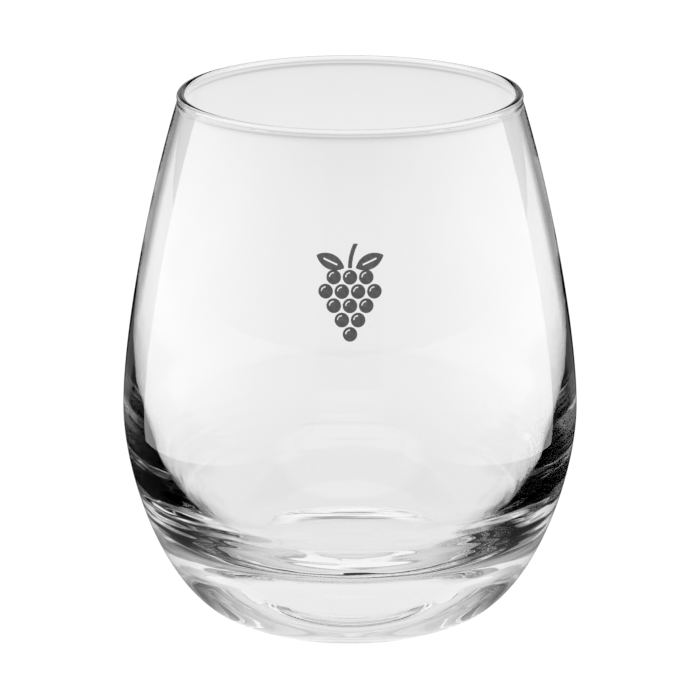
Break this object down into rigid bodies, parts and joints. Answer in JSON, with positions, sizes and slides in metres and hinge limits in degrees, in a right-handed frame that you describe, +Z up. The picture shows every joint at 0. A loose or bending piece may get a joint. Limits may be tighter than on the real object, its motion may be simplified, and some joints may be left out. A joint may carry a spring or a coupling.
{
  "type": "stemless wine glass",
  "caption": "Stemless wine glass: egg-shaped clear bowl that narrows to a beaded rim, with a thick base and a small grey print of grapes on its front.",
  "frame": {"origin": "on the table, under the middle of the foot", "axes": "+Z up along the axis of the glass, -Y towards the printed front, +X to the right of the print seen from the front"},
  "size_m": [0.0838, 0.0838, 0.098],
  "materials": {
    "glass": "clear, fire polished",
    "ink": "fired screen-print ink, satin"
  },
  "bodies": {
    "root": {"glass_body": "glass", "stalk": "ink", "leaf_left": "ink", "leaf_right": "ink", "berry_1": "ink", "berry_2": "ink", "berry_3": "ink", "berry_4": "ink", "berry_5": "ink", "berry_6": "ink", "berry_7": "ink", "berry_8": "ink", "berry_9": "ink", "berry_10": "ink", "berry_11": "ink", "berry_12": "ink", "berry_13": "ink"}
  },
  "joints": []
}
